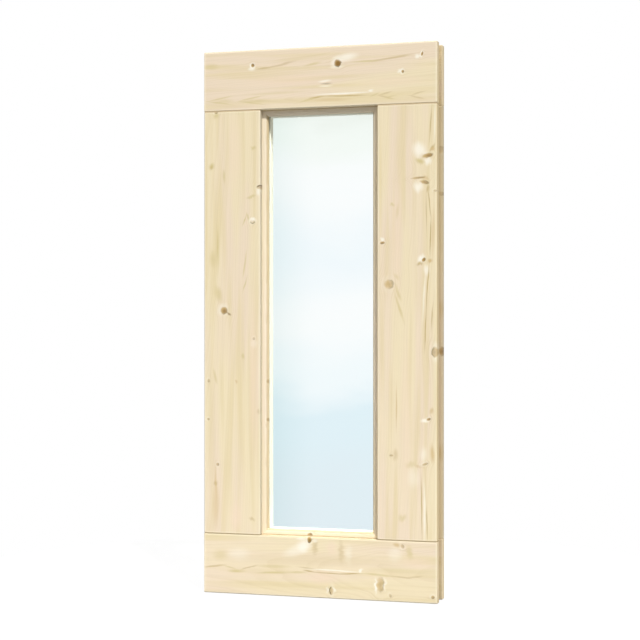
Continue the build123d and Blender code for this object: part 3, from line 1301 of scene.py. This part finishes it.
RIGHT_STILE = Board(
    "front_right_stile",
    Along.UPRIGHT,
    seed=4.0,
    pith_across_mm=98.0,
    pith_depth_mm=38.0,
    taper=-0.04,
    seam=JointShade.ENDS,
    knots=(
        Knot(144, 594.5, 17, 18, 0.22, dark_degrees=90, halo=0.15, rim=0.35),
        Knot(131, 675.5, 5, 9, 0.9, -10, dark_degrees=185, halo=0.2),
        Knot(213, 641.5, 6, 8, 1.0, -40, dark_degrees=80, halo=0.3, rim=0.8),
        Knot(235.5, 462, 19, 12, 0.5, dark_degrees=-90, halo=0.6),
        Knot(223, 332, 5, 8, 0.85, -20, dark_degrees=90, halo=0.4),
        Knot(221, 843.5, 8, 20, 0.85, -10, dark_degrees=100, halo=0.1),
        Knot(214.5, 792, 7, 16, 0.75, 12, dark_degrees=95, halo=0.1),
        Knot(202, 800.5, 4, 27, 0.7, -4, dark_degrees=90, halo=0.0, rim=0.2),
        Knot(236, 775, 4, 7, 0.3, 10, halo=0.2, rim=0.2),
        Knot(216, 245, 4.5, 12, 0.45, -20, dark_degrees=90, halo=0.3, rim=0.3),
        Knot(149.4, 260.5, 4, 7, 0.45, dark_degrees=-90, halo=0.1, rim=0.3),
    ),
    marks=(
        Mark(205, 853, 32, 26, Tone.GLOW, 0.9, -20),
        Mark(219, 840, 13, 26, Tone.TAN, 0.7, -8),
        Mark(221, 832, 16, 16, Tone.GLOW, 0.9),
        streak(Along.UPRIGHT, (226, 850), (236, 866), 6, Tone.AMBER, 0.8),
        Mark(231, 855, 8, 12, Tone.TAN, 0.9, -25),
        Mark(206, 832, 9, 20, Tone.OLIVE, 1.0, 20),
        Mark(217, 799, 8, 18, Tone.TAN, 0.6, 20),
        Mark(203, 783, 20, 20, Tone.GLOW, 0.85, 10),
        Mark(222, 780, 18, 6, Tone.AMBER, 0.6, 10),
        Mark(151, 749, 7, 10, Tone.OLIVE, 0.8, -10),
        Mark(161, 735, 30, 6, Tone.OLIVE, 0.7, 8),
        streak(Along.UPRIGHT, (224, 868), (230, 944), 2.6, Tone.AMBER, 0.75),
        streak(Along.UPRIGHT, (234, 868), (236, 944), 4, Tone.GLOW, 0.5),
        streak(Along.UPRIGHT, (222, 780), (228, 722), 2.4, Tone.AMBER, 0.85),
        streak(Along.UPRIGHT, (228, 726), (226, 650), 2.4, Tone.AMBER, 0.95),
        streak(Along.UPRIGHT, (218, 780), (219, 690), 2.2, Tone.AMBER, 0.6),
        streak(Along.UPRIGHT, (234, 740), (231, 650), 7, Tone.TAN, 0.5),
        Mark(208, 644.5, 11, 17, Tone.GLOW, 1.0, -45),
        Mark(206, 635, 7, 15, Tone.AMBER, 0.75, -25),
        Mark(226, 640, 9, 9, Tone.TAN, 1.0),
        Mark(219, 622, 20, 12, Tone.GLOW, 0.7),
        streak(Along.UPRIGHT, (224, 636), (218, 540), 2.6, Tone.AMBER, 0.95),
        streak(Along.UPRIGHT, (218, 545), (215, 465), 2.6, Tone.AMBER, 0.9),
        streak(Along.UPRIGHT, (232, 554), (228, 503), 4, Tone.AMBER, 0.6),
        Mark(214, 570, 110, 4, Tone.GLOW, 0.6, 4),
        Mark(131, 682, 8, 9, Tone.GLOW, 0.9, 20),
        Mark(143, 594.5, 17, 17, Tone.TAN, 0.9),
        Mark(159, 610, 14, 8, Tone.OLIVE, 0.7, -40),
        Mark(162, 580, 36, 6, Tone.OLIVE, 0.8, -20),
        Mark(164, 552, 62, 5, Tone.OLIVE, 0.8, -17),
        Mark(215, 331, 9, 14, Tone.GLOW, 0.95),
        Mark(229, 348, 12, 9, Tone.TAN, 0.7),
        Mark(157, 261, 22, 10, Tone.AMBER, 0.4),
        Mark(187, 243, 12, 20, Tone.OLIVE, 0.6),
        Mark(204, 240, 6, 18, Tone.TAN, 0.6, 10),
        Mark(230.5, 265, 34, 9, Tone.TAN, 0.8, -5),
        Mark(213, 262, 30, 14, Tone.GLOW, 0.5),
        Mark(193, 219, 40, 24, Tone.GLOW, 0.35),
        streak(Along.UPRIGHT, (208, 228), (210, 96), 2.4, Tone.AMBER, 0.85),
        streak(Along.UPRIGHT, (219, 160), (221, 96), 2.4, Tone.AMBER, 0.8),
        streak(Along.UPRIGHT, (214, 215), (215.5, 96), 5, Tone.GLOW, 0.75),
        Mark(159, 356, 84, 2.6, Tone.TAN, 0.8),
        Mark(171, 140, 14, 16, Tone.OLIVE, 0.6, -12),
        Mark(178, 340, 300, 22, Tone.ROSE, 0.4),
        Mark(160, 690, 240, 20, Tone.ROSE, 0.4),
    ),
)

REAR_RIGHT_STILE = Board(
    "rear_right_stile",
    Along.UPRIGHT,
    seed=14.0,
    pith_across_mm=80.0,
    pith_depth_mm=-40.0,
    knots=(
        Knot(237, 859, 14, 10, 0.3, dark_degrees=30, halo=0.1, rim=0.2),
        Knot(237, 773, 8, 8, 0.3, halo=0.1, rim=0.3),
        Knot(239, 463, 16, 12, 0.8, dark_degrees=90, halo=0.1, rim=0.7),
        Knot(165, 640, 16, 14, 0.6, 10),
        Knot(190, 300, 9, 8, 0.7, -20),
    ),
    marks=(
        Mark(238, 545, 34, 10, Tone.TAN, 0.7),
        Mark(238, 264, 30, 10, Tone.TAN, 0.8),
        Mark(237, 0, 26, 12, Tone.TAN, 0.7),
        Mark(200, 640, 160, 30, Tone.ROSE, 0.4),
        Mark(170, 200, 200, 24, Tone.OLIVE, 0.4),
    ),
)

LEFT_BEAD = Board(
    "bead_left",
    Along.UPRIGHT,
    seed=34.0,
    pith_across_mm=24.0,
    pith_depth_mm=-38.0,
    ring_mm=2.5,
    knots=(
        Knot(-109, 402, 7, 5, 0.45, dark_degrees=90, halo=0.1, rim=0.3),
        Knot(-109, 325, 7, 5, 0.5, dark_degrees=90, halo=0.1, rim=0.3),
    ),
)

BOTTOM_BEAD = Board(
    "bead_bottom",
    Along.LEVEL,
    seed=32.0,
    pith_across_mm=30.0,
    pith_depth_mm=-40.0,
    ring_mm=2.5,
    seam=JointShade.LOW_SIDE,
    knots=(Knot(-20, 97, 11, 9, 0.9, dark_degrees=20, halo=0.3),),
)

# The core's wood is a paler copy of the spruce: painted light for the bright reveal behind the glass.
BRIGHTENED_CORE_WOOD = Spruce(
    rose=linear(250, 242, 226),
    cream=linear(252, 247, 230),
    olive=linear(246, 240, 218),
    late=linear(236, 224, 196),
    painted_side_shade=linear(255, 255, 250),
    edge_highlight_share=0.0,
    late_share=0.25,
)

# The head's top face gets painted shade, which keeps it from rendering white.
HEAD_WOOD = replace(BRIGHTENED_CORE_WOOD, painted_side_shade=linear(222, 214, 196))

# The rear casing gets painted shade on its faces inside the groove and on its sides.
REAR_WOOD = Spruce(painted_groove_shade=linear(212, 206, 196), painted_side_shade=linear(222, 216, 203))

BEAD_WOOD = Spruce(
    rose=linear(244, 230, 208),
    cream=linear(246, 233, 206),
    olive=linear(238, 224, 192),
    late=linear(216, 196, 156),
    # Painted shade on the bead's rounded side.
    painted_side_shade=linear(222, 213, 194),
    edge_highlight_share=0.0,
    late_share=0.3,
    joint_shade_mm=2.0,
)

FRONT_WOOD = Spruce()

# The left stile gets a greyer painted shade on its sides and a stronger painted highlight on its edges.
LEFT_STILE_WOOD = Spruce(painted_side_shade=linear(204, 202, 200), edge_highlight_share=0.62)

# The bottom rail's top face gets a darker painted shade.
BOTTOM_RAIL_WOOD = Spruce(painted_side_shade=linear(213, 208, 197))

LEVEL_WORDS = ("rail", "head", "sill", "top", "bottom")


@dataclass(frozen=True)
class PlainStock:
    """Boards whose knots and marks lie at random, for pieces that show little.

    knots is how many each board has, and largest_mm how long the largest may be.
    """

    first_seed: int
    knots: int
    largest_mm: float
    ring_mm: float
    seam: JointShade = JointShade.NONE

    def boards(self, *names: str) -> list[Board]:
        """Cuts one board for each node, with its own seed."""
        return [self.board(name, self.first_seed + index) for index, name in enumerate(names)]

    def board(self, name: str, seed: int) -> Board:
        """Cuts one board.

        Args:
            name: The node.
            seed: Seeds the board's grain and its knots.

        Returns:
            The board.
        """
        chance = random.Random(seed)
        low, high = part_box(name)
        level = any(word in name for word in LEVEL_WORDS)

        def anywhere() -> Pair:
            """A place on the board, across the window and up."""
            across = chance.uniform(low.x, high.x) * MM_PER_METRE
            return across, chance.uniform(low.z, high.z) * MM_PER_METRE

        found = []
        patches = []
        for _ in range(self.knots):
            x_mm, z_mm = anywhere()
            length = chance.uniform(0.35, 1.0) * self.largest_mm
            turn = chance.uniform(-30.0, 30.0)
            dark = chance.uniform(0.0, 360.0)
            found.append(Knot(x_mm, z_mm, length, length * chance.uniform(0.6, 1.0), 0.65, turn, dark))
            x_mm, z_mm = anywhere()
            tone = chance.choice((Tone.ROSE, Tone.OLIVE, Tone.GLOW))
            patches.append(Mark(x_mm, z_mm, length * 8, length * 1.2, tone, 0.35))
        return Board(
            name,
            Along.LEVEL if level else Along.UPRIGHT,
            seed=float(seed),
            pith_across_mm=chance.uniform(-60.0, 60.0),
            pith_depth_mm=chance.uniform(-50.0, -25.0),
            ring_mm=self.ring_mm,
            seam=self.seam,
            knots=tuple(found),
            marks=tuple(patches),
        )


@dataclass(frozen=True)
class FrontCasing:
    """The casing in front: two rails that run right across, and two stiles between them."""

    wood: Spruce = FRONT_WOOD
    left_stile_wood: Spruce = LEFT_STILE_WOOD
    bottom_rail_wood: Spruce = BOTTOM_RAIL_WOOD

    def dress(self, knots: KnotGroup) -> None:
        """Gives each board its own wood, with the knots and marks chosen for it.

        Args:
            knots: The group that works out a knot.
        """
        dress_boards((TOP_RAIL, RIGHT_STILE), self.wood, knots)
        dress_boards((BOTTOM_RAIL,), self.bottom_rail_wood, knots)
        dress_boards((LEFT_STILE,), self.left_stile_wood, knots)


@dataclass(frozen=True)
class RearCasing:
    """The casing behind, of which only the right stile's edge shows from the front."""

    wood: Spruce = REAR_WOOD
    stock: PlainStock = PlainStock(first_seed=11, knots=5, largest_mm=16.0, ring_mm=4.5)

    def dress(self, knots: KnotGroup) -> None:
        """Gives each board its own wood."""
        boards = self.stock.boards("rear_top_rail", "rear_bottom_rail", "rear_left_stile")
        dress_boards((*boards, REAR_RIGHT_STILE), self.wood, knots)


@dataclass(frozen=True)
class CoreFrame:
    """The frame between the casings: the floor of the groove and the reveal behind the glass."""

    wood: Spruce = BRIGHTENED_CORE_WOOD
    head_wood: Spruce = HEAD_WOOD
    head_stock: PlainStock = PlainStock(first_seed=21, knots=1, largest_mm=8.0, ring_mm=3.5)
    stock: PlainStock = PlainStock(first_seed=22, knots=1, largest_mm=8.0, ring_mm=3.5)

    def dress(self, knots: KnotGroup) -> None:
        """Gives each member its own wood."""
        dress_boards(self.stock.boards("core_sill", "core_left_jamb", "core_right_jamb"), self.wood, knots)
        dress_boards(self.head_stock.boards("core_head"), self.head_wood, knots)


@dataclass(frozen=True)
class GlazingBeads:
    """The four mitred ovolo beads, of a finer and paler wood."""

    wood: Spruce = BEAD_WOOD
    stock: PlainStock = PlainStock(
        first_seed=33, knots=0, largest_mm=3.0, ring_mm=2.5, seam=JointShade.HIGH_SIDE
    )

    def dress(self, knots: KnotGroup) -> None:
        """Gives each bead its own wood."""
        boards = self.stock.boards("bead_top", "bead_right")
        dress_boards((*boards, LEFT_BEAD, BOTTOM_BEAD), self.wood, knots)


@dataclass(frozen=True)
class Glazing:
    """The pane and the tape round it."""

    glass: ClearGlass = ClearGlass()
    tape: FoamTape = FoamTape()

    def dress(self) -> None:
        """Gives the pane its glass and the strips their foam."""
        paint("glass_pane", self.glass.material())
        log.info("glass_pane dressed")
        foam = self.tape.material()
        for layer in ("outer", "inner"):
            for side in ("top", "bottom", "left", "right"):
                paint(f"{layer}_tape_{side}", foam)
                log.info("%s_tape_%s dressed", layer, side)


def main() -> None:
    """Places the camera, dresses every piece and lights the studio."""
    logging.basicConfig(level=logging.INFO, format="%(name)s: %(message)s")
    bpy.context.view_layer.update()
    bpy.context.scene.view_settings.view_transform = "Standard"
    PhotoCamera().build()
    knots = KnotGroup()
    FrontCasing().dress(knots)
    RearCasing().dress(knots)
    CoreFrame().dress(knots)
    GlazingBeads().dress(knots)
    Glazing().dress()
    Studio().build()


if __name__ == "__main__":
    main()
